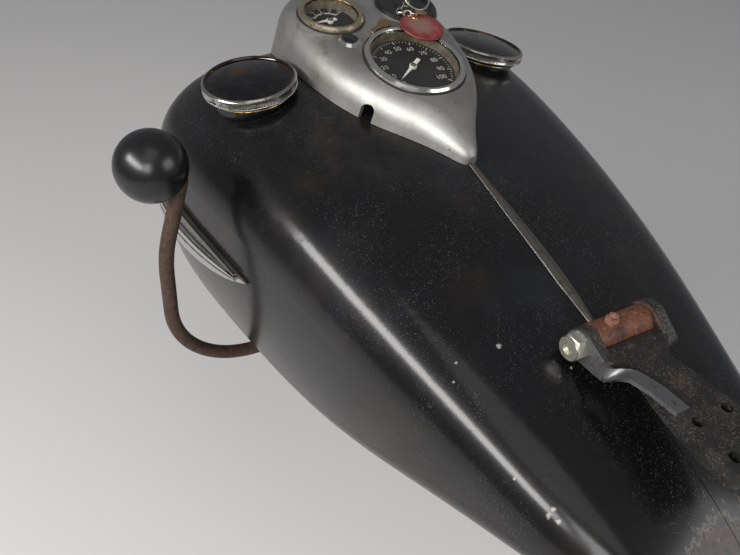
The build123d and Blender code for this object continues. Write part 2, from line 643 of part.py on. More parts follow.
# Arm that works the gearbox rod, keyed to the inner end of the lever's rod
with BuildPart() as shift_arm:
    with BuildSketch(Plane.XZ.offset(-ROD_END_Y - ARM_T)):
        with Locations((LEVER_X, PIVOT_Z)):
            Circle(ARM_R)
        with Locations((LEVER_X, PIVOT_Z - ARM_L)):
            Circle(ARM_EYE_R)
        make_hull()
        with Locations((LEVER_X, PIVOT_Z)):
            Circle(ROD_R, mode=Mode.SUBTRACT)
        with Locations((LEVER_X, PIVOT_Z - ARM_L)):
            Circle(ARM_BORE, mode=Mode.SUBTRACT)
    extrude(amount=ARM_T)
shift_arm.part.label = "shift_arm"
export_step(shift_arm.part, "parts/shift_arm.step")

# Saddle hinge: a barrel on a stem that passes down the seam to a sleeve round the frame's top tube
tube_z = between(HINGE_X, 1) - TUBE_DROP
slope = radians(TUBE_SLOPE)
tube_plane = Plane(origin=(HINGE_X, 0, tube_z), x_dir=(0, 1, 0), z_dir=(cos(slope), 0, sin(slope)))
with BuildPart() as hinge_base:
    with BuildSketch(Plane.XZ.offset(-BARREL_HALF)):
        with Locations((HINGE_X, HINGE_Z)):
            Circle(BARREL_R)
    extrude(amount=2 * BARREL_HALF)
    with BuildSketch(Plane.XY.offset(tube_z)):
        with Locations((HINGE_X, 0)):
            Rectangle(STEM_L, STEM_T)
    extrude(amount=HINGE_Z - tube_z)
    with BuildSketch(tube_plane.offset(-SLEEVE_L / 2)):
        Circle(TUBE_R + SLEEVE_WALL)
    extrude(amount=SLEEVE_L)
    with BuildSketch(tube_plane.offset(-SLEEVE_L / 2)):
        Circle(TUBE_R)
    extrude(amount=SLEEVE_L, mode=Mode.SUBTRACT)
    with BuildSketch(Plane.XZ.offset(-BARREL_HALF)):
        with Locations((HINGE_X, HINGE_Z)):
            Circle(BOLT_R + BOLT_FIT)
    extrude(amount=2 * BARREL_HALF, mode=Mode.SUBTRACT)
hinge_base.part.label = "hinge_base"
export_step(hinge_base.part, "parts/hinge_base.step")

with BuildPart() as grease_nipple:
    add(turned(Plane((HINGE_X, NIPPLE_Y, HINGE_Z + BARREL_R - NIPPLE_SINK)), NIPPLE))
    add(hinge_base.part, mode=Mode.SUBTRACT)
grease_nipple.part.label = "grease_nipple"
export_step(grease_nipple.part, "parts/grease_nipple.step")

# Arm that carries the saddle's nose: two cheeks on the bolt, a waisted neck and a drilled pad
cheek_in = BARREL_HALF + CHEEK_GAP
with BuildPart() as saddle_arm:
    for side, radius, thick in CHEEKS:
        with BuildSketch(Plane.XZ.offset(-side * cheek_in)):
            with Locations((HINGE_X, HINGE_Z)):
                Circle(radius)
            with Locations((HINGE_X - CHEEK_TOE[0], HINGE_Z + CHEEK_TOE[1])):
                Circle(CHEEK_TOE[2])
            make_hull()
        extrude(amount=-side * thick)
    with BuildSketch(Plane.XY.offset(HINGE_Z - ARM_LOW)):
        with BuildLine():
            flank = [(HINGE_X - back, half) for back, half in ARM_PLAN]
            front, rear, end = flank[0], flank[-1], HINGE_X - PAD_BACK
            turn = PAD_CORNER * (1 - sqrt(0.5))
            Spline(*flank)
            Spline(*[(x, -y) for x, y in flank])
            Line(front, (front[0], -front[1]))
            Line((end, rear[1] - PAD_CORNER), (end, PAD_CORNER - rear[1]))
            for side in (1, -1):
                ThreePointArc((rear[0], side * rear[1]), (end + turn, side * (rear[1] - turn)),
                              (end, side * (rear[1] - PAD_CORNER)))
        make_face()
        with Locations((HINGE_X - PAD_MIDDLE, 0)):
            with GridLocations(PAD_HOLES[0], PAD_HOLES[1], 2, 2):
                Circle(PAD_HOLE_R, mode=Mode.SUBTRACT)
    extrude(amount=ARM_DEPTH)
    with BuildSketch(Plane.XZ.offset(2 * cheek_in)):
        with Locations((HINGE_X, HINGE_Z)):
            Circle(BOLT_R)
    extrude(amount=-4 * cheek_in, mode=Mode.SUBTRACT)
saddle_arm.part.label = "saddle_arm"
export_step(saddle_arm.part, "parts/saddle_arm.step")

# Strap from the bolt's left end: an upright eye, then a flat tongue that twists over onto the arm
strap_y = cheek_in + CHEEKS[0][2]
with BuildPart() as saddle_strap:
    with BuildSketch(Plane.XZ.offset(-strap_y)):
        with Locations((HINGE_X, HINGE_Z)):
            Circle(STRAP_EYE_R)
        with Locations((HINGE_X - STRAP_TOE[0], HINGE_Z + STRAP_TOE[1])):
            Circle(STRAP_TOE[2])
        make_hull()
    extrude(amount=-STRAP_T)
    for back, y, rise, width, lean in STRAP_TWIST:
        a = radians(lean)
        middle = (HINGE_X - back, y, HINGE_Z + rise)
        with BuildSketch(Plane(origin=middle, x_dir=(0, -sin(a), cos(a)), z_dir=(-1, 0, 0))):
            Rectangle(width, STRAP_T - 2 * STRAP_FIT)
    loft(ruled=True)
    with BuildSketch(Plane.XZ.offset(-strap_y)):
        with Locations((HINGE_X, HINGE_Z)):
            Circle(BOLT_R)
    extrude(amount=-STRAP_T, mode=Mode.SUBTRACT)
saddle_strap.part.label = "saddle_strap"
export_step(saddle_strap.part, "parts/saddle_strap.step")

# Hinge bolt: fixed in the cheeks and the strap, running in the barrel
bolt_end = -cheek_in - CHEEKS[1][2]
head_foot = Plane(origin=(HINGE_X, strap_y + STRAP_T, HINGE_Z), x_dir=(1, 0, 0), z_dir=(0, 1, 0))
with BuildPart() as bolt_head:
    with BuildSketch(head_foot):
        RegularPolygon(BOLT_HEAD_AF / 2, 6, major_radius=False)
    extrude(amount=BOLT_HEAD_T)
    add(turned(head_foot, [
        (0, 0),
        (BOLT_HEAD_AF, 0),
        (BOLT_HEAD_AF, BOLT_HEAD_T - BOLT_FACE_T - (BOLT_HEAD_AF - BOLT_FACE_R) / sqrt(3)),
        (BOLT_FACE_R, BOLT_HEAD_T - BOLT_FACE_T),
        (BOLT_FACE_R, BOLT_HEAD_T),
        (BOLT_HOLLOW_R, BOLT_HEAD_T),
        (BOLT_HOLLOW_R, BOLT_HEAD_T - BOLT_HOLLOW),
        (0, BOLT_HEAD_T - BOLT_HOLLOW),
    ]), mode=Mode.INTERSECT)
with BuildPart() as hinge_bolt:
    with BuildSketch(Plane.XZ.offset(-bolt_end)):
        with Locations((HINGE_X, HINGE_Z)):
            Circle(BOLT_R)
    extrude(amount=bolt_end - strap_y - STRAP_T)
    add(bolt_head.part)
hinge_bolt.part.label = "hinge_bolt"
export_step(hinge_bolt.part, "parts/hinge_bolt.step")

# Hangers
for name, (x, z, link_x, link_z, tube_end, link_end) in HANGERS.items():
    with BuildPart() as hanger:
        for side in (1, -1):
            with BuildSketch(Plane.XZ.offset(-side * (TUNNEL_Y - HANGER_T))):
                with Locations((x, z)):
                    Circle(tube_end)
                with Locations((link_x, link_z)):
                    Circle(link_end)
                make_hull()
            extrude(amount=-side * HANGER_T)
        with BuildSketch(Plane.XZ.offset(-TUNNEL_Y)):
            with Locations((x, z)):
                Circle(HANGER_TUBE_R)
        extrude(amount=2 * TUNNEL_Y)
        with BuildSketch(Plane.XZ.offset(-TUNNEL_Y)):
            with Locations((x, z)):
                Circle(HANGER_BORE_R)
        extrude(amount=2 * TUNNEL_Y, mode=Mode.SUBTRACT)
    hanger.part.label = name
    export_step(hanger.part, f"parts/{name}.step")

# Fuel taps
tank_low = between(TAP_X, 4)
for name, side, half in (("left", 1, tank_left), ("right", -1, tank_right)):
    body_z = tank_low - TAP_HEX_H - TAP_BODY_H / 2
    with BuildPart() as fuel_tap:
        with BuildSketch(Plane.XY.offset(tank_low - TAP_HEX_H)):
            with Locations((TAP_X, side * TAP_Y)):
                RegularPolygon(TAP_HEX_AF / 2, 6, major_radius=False)
        extrude(amount=2 * TAP_HEX_H)
        with BuildSketch(Plane.XY.offset(tank_low - TAP_HEX_H)):
            with Locations((TAP_X, side * TAP_Y)):
                Circle(TAP_BODY_R)
        extrude(amount=-TAP_BODY_H)
        with BuildSketch(Plane.YZ.offset(TAP_X)):
            with Locations((side * TAP_Y, body_z)):
                Circle(SPIGOT_NECK_R)
        extrude(amount=-SPIGOT_L - TAP_BODY_R)
        with BuildSketch(Plane.YZ.offset(TAP_X - TAP_BODY_R - SPIGOT_NECK_L)):
            with Locations((side * TAP_Y, body_z)):
                Circle(SPIGOT_R)
        extrude(amount=SPIGOT_NECK_L - SPIGOT_L)
        with BuildSketch(Plane.YZ.offset(TAP_X)):
            with Locations((side * TAP_Y, body_z)):
                Circle(SPIGOT_BORE_R)
        extrude(amount=-SPIGOT_L - TAP_BODY_R, mode=Mode.SUBTRACT)
        with BuildSketch(Plane.XZ.offset(-side * TAP_Y)):
            with Locations((TAP_X, body_z)):
                Circle(TAP_BOSS_R)
        extrude(amount=-side * (TAP_BODY_R + TAP_LEVER_T))
        with BuildSketch(Plane.XZ.offset(-side * (TAP_Y + TAP_BODY_R + TAP_LEVER_T))):
            with Locations((TAP_X, body_z)):
                SlotCenterToCenter(2 * TAP_LEVER_L, TAP_LEVER_W, rotation=90)
            with Locations((TAP_X, body_z + TAP_LEVER_W / 2)):
                Rectangle(TAP_LEVER_W, TAP_LEVER_L + TAP_LEVER_W, align=(Align.CENTER, Align.MIN),
                          mode=Mode.SUBTRACT)
        extrude(amount=-side * TAP_LEVER_T)
        add(half.part, mode=Mode.SUBTRACT)
    fuel_tap.part.label = f"fuel_tap_{name}"
    export_step(fuel_tap.part, f"parts/fuel_tap_{name}.step")
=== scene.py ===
import json
from math import cos, pi, radians, sin, tan

import bpy
from mathutils import Matrix, Vector


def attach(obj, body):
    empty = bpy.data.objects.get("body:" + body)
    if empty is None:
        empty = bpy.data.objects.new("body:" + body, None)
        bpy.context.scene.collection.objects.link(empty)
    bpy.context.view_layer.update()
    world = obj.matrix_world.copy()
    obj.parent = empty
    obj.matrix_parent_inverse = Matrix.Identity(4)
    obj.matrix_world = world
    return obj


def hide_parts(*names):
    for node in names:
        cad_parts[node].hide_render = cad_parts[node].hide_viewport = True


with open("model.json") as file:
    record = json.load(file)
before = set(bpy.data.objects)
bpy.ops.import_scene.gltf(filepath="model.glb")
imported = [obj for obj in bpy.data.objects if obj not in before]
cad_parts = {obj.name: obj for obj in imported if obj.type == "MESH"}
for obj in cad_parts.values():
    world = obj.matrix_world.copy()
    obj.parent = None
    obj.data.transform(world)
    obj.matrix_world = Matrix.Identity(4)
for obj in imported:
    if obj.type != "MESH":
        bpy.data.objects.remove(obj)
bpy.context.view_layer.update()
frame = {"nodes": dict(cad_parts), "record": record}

MM = 0.001
nodes = frame["nodes"]

# Seats of the CAD part: the place in mm, then how far its axis leans to the rear and to the left, in degrees
CAP_SEAT = ((-139.0, 124.3, 111.5), -4.5, 9.5)      # the left one, which the right one mirrors
SPEEDOMETER_SEAT = ((-195.5, 0.0, 136.3), 9.8, 0.0)
AMMETER_SEAT = ((-118.6, 38.8, 146.2), 4.9, 2.4)
LAMP_SEAT = ((-157.0, 42.0, 140.6), 7.0, 5.0)
SPEEDOMETER_R, AMMETER_R = 43.9, 28.7   # of the bezels
FOB_X, FOB_Y = -160.5, -28.0            # the fob's middle, over the speedometer's front edge


# Shader building

class Shader:
    """A node material with one principled shader. The scale of a pattern is in cells per metre."""

    def __init__(self, name):
        self.material = bpy.data.materials.new(name)
        self.material.use_nodes = True
        self.tree = self.material.node_tree
        self.tree.nodes.clear()
        self.surface = self.add("ShaderNodeBsdfPrincipled")
        self.output = self.add("ShaderNodeOutputMaterial")
        self.link(self.surface.outputs["BSDF"], self.output.inputs["Surface"])
        self.coords = self.add("ShaderNodeTexCoord").outputs["Object"]

    def add(self, kind, **settings):
        """New node of a kind, with its settings."""
        node = self.tree.nodes.new(kind)
        for key, value in settings.items():
            setattr(node, key, value)
        return node

    def link(self, source, target):
        """Joins an output to an input."""
        self.tree.links.new(source, target)

    def put(self, value, socket):
        """Links a socket, or sets a plain number or colour."""
        if isinstance(value, bpy.types.NodeSocket):
            self.link(value, socket)
        elif socket.type == "RGBA":
            socket.default_value = (*value, 1.0)
        else:
            socket.default_value = value

    def math(self, operation, a, b=0.0, clamp=False):
        """Result of an operation on numbers or sockets, held between 0 and 1 if clamped."""
        node = self.add("ShaderNodeMath", operation=operation, use_clamp=clamp)
        self.put(a, node.inputs[0])
        self.put(b, node.inputs[1])
        return node.outputs[0]

    def times(self, a, b):
        """Product; of two masks, where both hold."""
        return self.math("MULTIPLY", a, b)

    def plus(self, a, b, clamp=False):
        """Sum, held between 0 and 1 if clamped."""
        return self.math("ADD", a, b, clamp)

    def noise(self, scale, detail, rough=0.55, vector=None):
        """Soft noise round 0.5."""
        node = self.add("ShaderNodeTexNoise")
        self.link(vector or self.coords, node.inputs["Vector"])
        node.inputs["Scale"].default_value = scale
        node.inputs["Detail"].default_value = detail
        node.inputs["Roughness"].default_value = rough
        return node.outputs["Fac"]

    def step(self, value, low, high):
        """0 below low, 1 above high, smooth between; falls instead where low is the larger."""
        node = self.add("ShaderNodeMapRange", interpolation_type="SMOOTHSTEP")
        self.put(value, node.inputs["Value"])
        rising = low < high
        node.inputs["From Min"].default_value = min(low, high)
        node.inputs["From Max"].default_value = max(low, high)
        node.inputs["To Min"].default_value = 0.0 if rising else 1.0
        node.inputs["To Max"].default_value = 1.0 if rising else 0.0
        return node.outputs["Result"]

    def patches(self, scale, detail, rough, low, high):
        """Soft-edged patches, where a noise climbs from low to high."""
        return self.step(self.noise(scale, detail, rough), low, high)

    def mix(self, factor, a, b):
        """Mix of two colours."""
        node = self.add("ShaderNodeMix", data_type="RGBA")
        self.put(factor, node.inputs["Factor"])
        self.put(a, node.inputs[6])
        self.put(b, node.inputs[7])
        return node.outputs[2]

    def tint(self, colour, mask, share, other):
        """The colour with a share of another one, where the mask holds."""
        return self.mix(self.times(mask, share), colour, other)

    def blend(self, factor, a, b):
        """Mix of two numbers."""
        node = self.add("ShaderNodeMix", data_type="FLOAT")
        self.put(factor, node.inputs[0])
        self.put(a, node.inputs[2])
        self.put(b, node.inputs[3])
        return node.outputs[0]

    def near(self, place, reach, ragged=0.3):
        """1 at a place, falling to 0 at its reach, both in mm, with a more or less ragged edge."""
        away = self.add("ShaderNodeVectorMath", operation="DISTANCE")
        self.link(self.coords, away.inputs[0])
        away.inputs[1].default_value = Vector(place) * MM
        share = self.math("DIVIDE", away.outputs["Value"], reach * MM)
        tears = self.times(self.noise(1.6 / (reach * MM), 4.0, 0.65), ragged)
        return self.step(self.plus(share, tears), 1.0 + 0.3 * ragged, 0.45 + 0.3 * ragged)

    def axes(self, letters):
        """The coordinates of those letters, in metres."""
        node = self.add("ShaderNodeSeparateXYZ")
        self.link(self.coords, node.inputs[0])
        return [node.outputs[letter] for letter in letters]

    def specks(self, scale, share, size):
        """Round specks, up to a size in cells: one in each cell of a pattern, kept in a share of them."""
        cells = self.add("ShaderNodeTexVoronoi")
        self.link(self.coords, cells.inputs["Vector"])
        cells.inputs["Scale"].default_value = scale
        chance = self.add("ShaderNodeSeparateColor")
        self.link(cells.outputs["Color"], chance.inputs[0])
        kept = self.step(chance.outputs[0], 1.0 - share, 1.001 - share)
        reach = self.times(chance.outputs[1], size)
        return self.times(kept, self.math("LESS_THAN", cells.outputs["Distance"], reach))

    def scratches(self, along, across, turn, low, high):
        """Fine straight marks: a noise drawn out along one direction, with a scale for each way."""
        drawn = self.add("ShaderNodeMapping")
        drawn.inputs["Rotation"].default_value = turn
        drawn.inputs["Scale"].default_value = (along, across, across)
        self.link(self.coords, drawn.inputs["Vector"])
        return self.step(self.noise(1.0, 2.0, 0.5, drawn.outputs[0]), low, high)

    def finish(self, colour, roughness, metallic=0.0, relief=None, **extra):
        """Sets the surface. A relief is a height, its strength and its depth in mm."""
        self.put(colour, self.surface.inputs["Base Color"])
        self.put(roughness, self.surface.inputs["Roughness"])
        self.put(metallic, self.surface.inputs["Metallic"])
        for key, value in extra.items():
            self.put(value, self.surface.inputs[key.replace("_", " ")])
        if relief:
            height, strength, depth = relief
            bump = self.add("ShaderNodeBump")
            bump.inputs["Strength"].default_value = strength
            bump.inputs["Distance"].default_value = depth * MM
            self.link(height, bump.inputs["Height"])
            self.link(bump.outputs[0], self.surface.inputs["Normal"])
        return self.material


# Materials

# The enamel's tones, and the places and reaches of its marks in mm
BLACK, HAZED_BLACK = (0.0032, 0.0033, 0.0036), (0.0095, 0.0105, 0.0135)
BROWN_HAZE, PALE_FILM, SMEAR = (0.022, 0.016, 0.011), (0.03, 0.027, 0.024), (0.12, 0.12, 0.11)
WIPED, DUST, GRIT, CHIP = (0.10, 0.10, 0.11), (0.14, 0.135, 0.13), (0.2, 0.185, 0.165), (0.3, 0.29, 0.265)
DARK_RUST, BROWN_RUST = (0.009, 0.007, 0.006), (0.042, 0.025, 0.016)
BARE_PATCH, RUST_EDGE = (0.12, 0.095, 0.07), (0.085, 0.078, 0.066)
FILM_PLACE, FILM_REACH = (-232.0, 70.0, 100.0), 80.0
SMEAR_PLACE, SMEAR_REACH = (-471.0, 51.5, 53.0), 10.0
CHIPS = [
    ((-544.0, 101.0, 19.0), 2.86), ((-545.0, 105.0, 15.0), 3.12),
    ((-551.0, 102.0, 15.0), 3.12), ((-516.0, 112.0, 22.0), 1.82),
    ((-441.0, 77.0, 58.0), 3.38), ((-447.0, 117.0, 46.0), 1.56),
    ((-438.0, 110.0, 53.0), 1.69), ((-475.0, 38.0, 53.0), 1.82),
]

# The rear rust: how much the wear changes in a metre forward and in a metre sideways, how ragged it is,
# and the wear at which the rust starts, is full, and has its paler edge
WEAR_FORWARD, WEAR_SIDEWAYS, WEAR_RAGGED = -12.0, -9.0, 1.5
RUST_START, RUST_FULL, EDGE_START, EDGE_END = 7.78, 7.81, 7.82, 7.87


def rear_rust(s):
    """Where the tank's rear end is rusty, furthest forward along the seam, and its tone with a paler edge."""
    x, y = s.axes("XY")
    even = s.plus(s.times(x, WEAR_FORWARD), s.times(s.math("ABSOLUTE", y), WEAR_SIDEWAYS))
    wear = s.plus(even, s.times(s.noise(24.0, 6.0, 0.75), WEAR_RAGGED))
    tone = s.mix(s.patches(170.0, 6.0, 0.7, 0.36, 0.62), DARK_RUST, BROWN_RUST)
    tone = s.mix(s.patches(90.0, 5.0, 0.7, 0.6, 0.68), tone, BARE_PATCH)
    tone = s.mix(s.step(wear, EDGE_END, EDGE_START), tone, RUST_EDGE)
    return s.step(wear, RUST_START, RUST_FULL), tone


def enamel():
    """Old black enamel: semi-gloss, hazed in patches, with dust, chips, wiping marks and rust at the rear."""
    s = Shader("black_enamel")
    haze = s.patches(9.0, 5.0, 0.6, 0.48, 0.8)
    colour = s.mix(haze, BLACK, HAZED_BLACK)
    colour = s.tint(colour, s.patches(12.0, 4.0, 0.6, 0.5, 0.78), 0.5, BROWN_HAZE)
    film = s.times(s.near(FILM_PLACE, FILM_REACH), s.patches(45.0, 6.0, 0.75, 0.3, 0.8))
    colour = s.tint(colour, film, 0.5, PALE_FILM)
    wiped = s.scratches(26.0, 900.0, (0.2, 0.1, 0.5), 0.7, 0.78)
    colour = s.tint(colour, s.times(wiped, s.patches(20.0, 3.0, 0.5, 0.5, 0.62)), 0.3, WIPED)
    clumps = s.patches(16.0, 5.0, 0.65, 0.36, 0.62)
    dust = s.times(s.specks(1050.0, 0.45, 0.4), clumps)
    colour = s.tint(colour, dust, 0.5, DUST)
    colour = s.tint(colour, s.times(s.specks(520.0, 0.07, 0.2), clumps), 0.6, GRIT)
    chips = s.specks(60.0, 0.03, 0.11)
    for place, reach in CHIPS:
        chips = s.math("MAXIMUM", chips, s.near(place, reach, 1.3))
    colour = s.mix(chips, colour, CHIP)
    smear = s.near(SMEAR_PLACE, SMEAR_REACH, 0.9)
    colour = s.tint(colour, smear, 0.35, SMEAR)
    rusty, rust_tone = rear_rust(s)
    colour = s.mix(rusty, colour, rust_tone)
    fine = s.noise(60.0, 6.0, 0.7)
    rough = s.blend(haze, 0.3, 0.42)
    for mask, more in ((fine, 0.10), (smear, 0.2), (dust, 0.12)):
        rough = s.plus(rough, s.times(mask, more))
    rough = s.plus(rough, s.times(rusty, 0.4), clamp=True)
    wave = s.plus(s.noise(26.0, 3.0, 0.5), s.times(fine, 0.12))
    return s.finish(colour, rough, relief=(wave, 0.10, 0.6), Specular_IOR_Level=0.1, Coat_Weight=0.62,
                    Coat_Roughness=0.16)


def cast_aluminium():
    """Satin casting: soft brushed look, brown stains and small dark pits."""
    silver, shade = (0.42, 0.411, 0.396), (0.28, 0.27, 0.252)
    stain, pit = (0.14, 0.105, 0.07), (0.09, 0.075, 0.06)
    s = Shader("satin_casting")
    cloud = s.noise(28.0, 6.0, 0.65)
    colour = s.mix(s.step(cloud, 0.3, 0.75), silver, shade)
    colour = s.tint(colour, s.patches(36.0, 6.0, 0.75, 0.54, 0.74), 0.5, stain)
    colour = s.tint(colour, s.specks(220.0, 0.06, 0.24), 0.8, pit)
    grain = s.plus(s.noise(900.0, 2.0, 0.5), s.times(cloud, 1.5))
    return s.finish(colour, s.blend(cloud, 0.42, 0.56), 0.92, (grain, 0.10, 0.4))


def metal(name, colour, dirt, rough, dirty, scale, metallic=1.0):
    """Bright or dull metal with dirt in patches; the dirtier, from 0 to 1, the more they spread and cover."""
    s = Shader(name)
    patch = s.patches(scale, 6.0, 0.68, 0.62 - 0.2 * dirty, 0.84 - 0.2 * dirty)
    fine = s.noise(scale * 9.0, 3.0, 0.6)
    tone = s.tint(colour, patch, min(1.0, 0.35 + dirty), dirt)
    roughness = s.plus(s.blend(patch, rough, 0.5), s.times(fine, 0.08))
    shine = s.blend(patch, metallic, metallic * (1.0 - 0.6 * dirty))
    return s.finish(tone, roughness, shine, (s.plus(fine, patch), 0.12, 0.3))


def rust(name, dark, mid, bright, metallic, scale, rough):
    """Fine even rust in three tones, smoother in rubbed patches."""
    s = Shader(name)
    field = s.noise(scale, 7.0, 0.72)
    tone = s.mix(s.step(field, 0.3, 0.55), dark, mid)
    tone = s.mix(s.patches(scale * 2.7, 5.0, 0.7, 0.52, 0.72), tone, bright)
    tone = s.mix(s.patches(scale * 0.4, 5.0, 0.7, 0.5, 0.68), tone, dark)
    rubbed = s.patches(scale * 0.35, 4.0, 0.6, 0.55, 0.75)
    height = s.plus(field, s.times(s.noise(scale * 7.0, 3.0, 0.6), 0.5))
    return s.finish(tone, s.blend(rubbed, rough, rough - 0.22), metallic, (height, 0.35, 0.5))


def worn_fob():
    """Red disc whose middle is rubbed to a grey brown."""
    dark_red, red = (0.13, 0.013, 0.013), (0.25, 0.035, 0.033)
    rubbed_brown, crack = (0.19, 0.12, 0.10), (0.06, 0.035, 0.03)
    s = Shader("worn_red")
    field = s.noise(190.0, 6.0, 0.72)
    tone = s.mix(s.step(field, 0.35, 0.65), dark_red, red)
    tone = s.tint(tone, s.near((FOB_X, FOB_Y, 149.6), 21.0, 0.8), 0.85, rubbed_brown)
    tone = s.tint(tone, s.patches(320.0, 6.0, 0.75, 0.6, 0.68), 0.6, crack)
    return s.finish(tone, 0.55, relief=(field, 0.25, 0.4))


def gloss_black(name, rough):
    """Smooth black: soft reflections with a few dull rub marks."""
    s = Shader(name)
    rub = s.patches(70.0, 5.0, 0.65, 0.55, 0.8)
    colour = s.mix(rub, (0.0055, 0.0055, 0.006), (0.016, 0.015, 0.014))
    return s.finish(colour, s.blend(rub, rough, rough + 0.1), relief=(s.noise(400.0, 3.0), 0.03, 0.3))


def rusty_lip(s, side, foot):
    """Rust on a narrow lip that starts at that side and foot, in metres, and runs to the left and up."""
    y, z = s.axes("YZ")
    band = s.times(s.step(y, side, side + 1.0 * MM), s.step(y, side + 2.5 * MM, side + 1.5 * MM))
    band = s.times(band, s.step(z, foot, foot + 4.0 * MM))
    return s.times(band, s.patches(120.0, 4.0, 0.55, 0.3, 0.5))


def worn_black(name, spots=(), lip=None):
    """Black iron with grey rubbed patches, a little rust all over, and more at given spots and on a lip."""
    black, rubbed = (0.008, 0.0075, 0.007), (0.05, 0.046, 0.042)
    dust, bare = (0.15, 0.125, 0.105), (0.2, 0.17, 0.145)
    dark_rust, light_rust = (0.045, 0.02, 0.012), (0.2, 0.09, 0.055)
    s = Shader(name)
    rub = s.patches(55.0, 6.0, 0.7, 0.46, 0.78)
    red = s.times(s.patches(38.0, 5.0, 0.65, 0.62, 0.78), 0.35)
    for place, reach in spots:
        blot = s.times(s.near(place, reach, 0.9), s.patches(240.0, 5.0, 0.7, 0.44, 0.66))
        red = s.math("MAXIMUM", red, blot)
    if lip:
        red = s.math("MAXIMUM", red, rusty_lip(s, *lip))
    colour = s.mix(rub, black, rubbed)
    dusty = s.times(s.patches(620.0, 5.0, 0.75, 0.5, 0.66), s.patches(70.0, 4.0, 0.6, 0.35, 0.6))
    colour = s.tint(colour, dusty, 0.7, dust)
    colour = s.tint(colour, s.patches(150.0, 6.0, 0.75, 0.64, 0.7), 0.6, bare)
    colour = s.mix(red, colour, s.mix(s.noise(300.0, 5.0, 0.7), dark_rust, light_rust))
    height = s.plus(s.noise(260.0, 5.0, 0.65), s.times(rub, 0.8))
    return s.finish(colour, s.blend(rub, 0.5, 0.36), s.blend(rub, 0.15, 0.5), (height, 0.45, 0.8))


# The side trim from the side, in metres: its top edge, its rear tip and how deep it is ahead of the tip
TRIM_SLOPE, TRIM_TOP_Z, TRIM_TIP_X = 0.0213, -0.00468, -0.25
TRIM_TIP_DEPTH, TRIM_WIDENING, TRIM_BELLY = 0.0008, 0.692, -2.05


def spear_metal():
    """Chrome ribs over a dark valley; the top bar is tarnished brown."""
    chrome, tarnish = (0.6, 0.59, 0.57), (0.16, 0.12, 0.09)
    brown_bar, dark_valley = (0.13, 0.1, 0.078), (0.016, 0.015, 0.014)
    s = Shader("trim_metal")
    x, z = s.axes("XZ")
    drop = s.math("SUBTRACT", s.plus(s.times(x, TRIM_SLOPE), TRIM_TOP_Z), z)
    along = s.plus(x, -TRIM_TIP_X)
    depth = s.plus(s.times(along, s.plus(s.times(along, TRIM_BELLY), TRIM_WIDENING)), TRIM_TIP_DEPTH)
    share = s.math("DIVIDE", drop, depth)
    valley = s.times(s.step(share, 0.25, 0.29), s.step(share, 0.5, 0.46))
    bar = s.step(share, 0.28, 0.24)
    patch = s.patches(110.0, 6.0, 0.68, 0.5, 0.75)
    colour = s.tint(chrome, patch, 0.5, tarnish)
    colour = s.tint(colour, bar, 0.8, brown_bar)
    colour = s.mix(valley, colour, dark_valley)
    rough = s.plus(s.blend(patch, 0.14, 0.32), s.times(bar, 0.2))
    return s.finish(colour, rough, s.blend(valley, 0.95, 0.1), (s.noise(500.0, 3.0), 0.05, 0.3))


# The cap's rust bloom: its place from the middle of the rim and its reach, in mm
BLOOM_PLACE, BLOOM_REACH = (12.0, 3.0, 2.0), 13.0


def cap_metal():
    """Chrome rim round a face that mirrors like dark glass, its dark tone partly tarnish and partly painted
    reflection, with a rust bloom off its middle.
    """
    chrome, grime_brown = (0.42, 0.40, 0.37), (0.11, 0.085, 0.06)
    # Dark tones of the face: partly tarnish, partly a painted reflection of dark surroundings on the domed
    # chrome
    blue_grey, brown_grey = (0.045, 0.046, 0.054), (0.1, 0.09, 0.08)
    bloom_brown, edge_brown = (0.17, 0.085, 0.025), (0.14, 0.085, 0.035)
    s = Shader("cap_metal")
    x, y, z = s.axes("XYZ")
    out = s.math("SQRT", s.plus(s.times(x, x), s.times(y, y)))
    face = s.times(s.step(out, 38.2 * MM, 37.4 * MM), s.step(z, -4.0 * MM, -3.0 * MM))
    clouds = s.patches(80.0, 6.0, 0.7, 0.4, 0.75)
    # The face painted dark: tarnish together with painted reflection
    dark = s.mix(clouds, blue_grey, brown_grey)
    bloom = s.near(BLOOM_PLACE, BLOOM_REACH, 0.9)
    dark = s.tint(dark, bloom, 0.75, bloom_brown)
    edge = s.times(s.step(out, 31.0 * MM, 35.2 * MM), s.patches(60.0, 4.0, 0.6, 0.4, 0.6))
    dark = s.tint(dark, edge, 0.6, edge_brown)
    grime = s.patches(160.0, 6.0, 0.7, 0.5, 0.7)
    colour = s.mix(face, s.tint(chrome, grime, 0.75, grime_brown), dark)
    rough = s.blend(face, s.blend(grime, 0.16, 0.4), s.blend(clouds, 0.06, 0.16))
    rough = s.plus(rough, s.times(bloom, 0.22))
    return s.finish(colour, rough, 1.0, (s.noise(90.0, 4.0), 0.03, 0.5))


def paint(name, colour, second, rough, scale=120.0):
    """Matt paint with soft variation, as on a dial."""
    s = Shader(name)
    field = s.noise(scale, 5.0, 0.65)
    tone = s.mix(s.step(field, 0.35, 0.7), colour, second)
    return s.finish(tone, rough, relief=(field, 0.08, 0.2))


def glass():
    """Thin clear glass: what lies behind it shows unchanged, under a faint reflection with a film on it."""
    s = Shader("clear_glass")
    film = s.patches(60.0, 5.0, 0.65, 0.4, 0.8)
    clear = s.add("ShaderNodeBsdfTransparent")
    gloss = s.add("ShaderNodeBsdfGlossy")
    s.put((0.9, 0.9, 0.9), gloss.inputs["Color"])
    s.link(s.blend(film, 0.03, 0.14), gloss.inputs["Roughness"])
    mixed = s.add("ShaderNodeMixShader")
    mixed.inputs[0].default_value = 0.025
    s.link(clear.outputs[0], mixed.inputs[1])
    s.link(gloss.outputs[0], mixed.inputs[2])
    s.tree.nodes.remove(s.surface)
    s.link(mixed.outputs[0], s.output.inputs["Surface"])
    return s.material


# Rust on the hinge's casting: spots in mm, and the lip of its right cheek in metres
CASTING_SPOTS = [((-531.0, -1.0, 75.5), 13.0), ((-490.0, 6.0, 73.0), 7.0)]
CHEEK_LIP = (-0.0275, 0.076)

